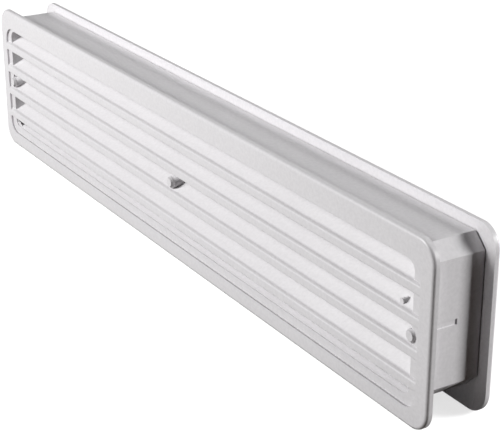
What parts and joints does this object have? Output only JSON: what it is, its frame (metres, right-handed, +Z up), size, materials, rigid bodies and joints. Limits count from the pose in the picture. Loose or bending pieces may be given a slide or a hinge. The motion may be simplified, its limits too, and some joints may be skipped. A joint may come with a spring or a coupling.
{
  "type": "telescopic louvred door vent",
  "caption": "White moulded door vent: two oblong louvred flanges back to back, joined by a telescopic duct sleeve that suits the thickness of the door.",
  "frame": {"origin": "middle of the flanges' bottom edges, halfway through the depth as shown", "axes": "+X along the vent, +Y from the front face to the rear face, +Z up"},
  "size_m": [0.455, 0.036, 0.091],
  "materials": {
    "white_plastic": "smooth moulded, soft sheen"
  },
  "bodies": {
    "front_half": {"front_grille": "white_plastic"},
    "rear_half": {"rear_grille": "white_plastic"}
  },
  "joints": [
    {"name": "sleeve_slide", "type": "slide", "parent": "front_half", "child": "rear_half", "axis": [0, 1, 0], "range_m": [0, 0.016]}
  ]
}
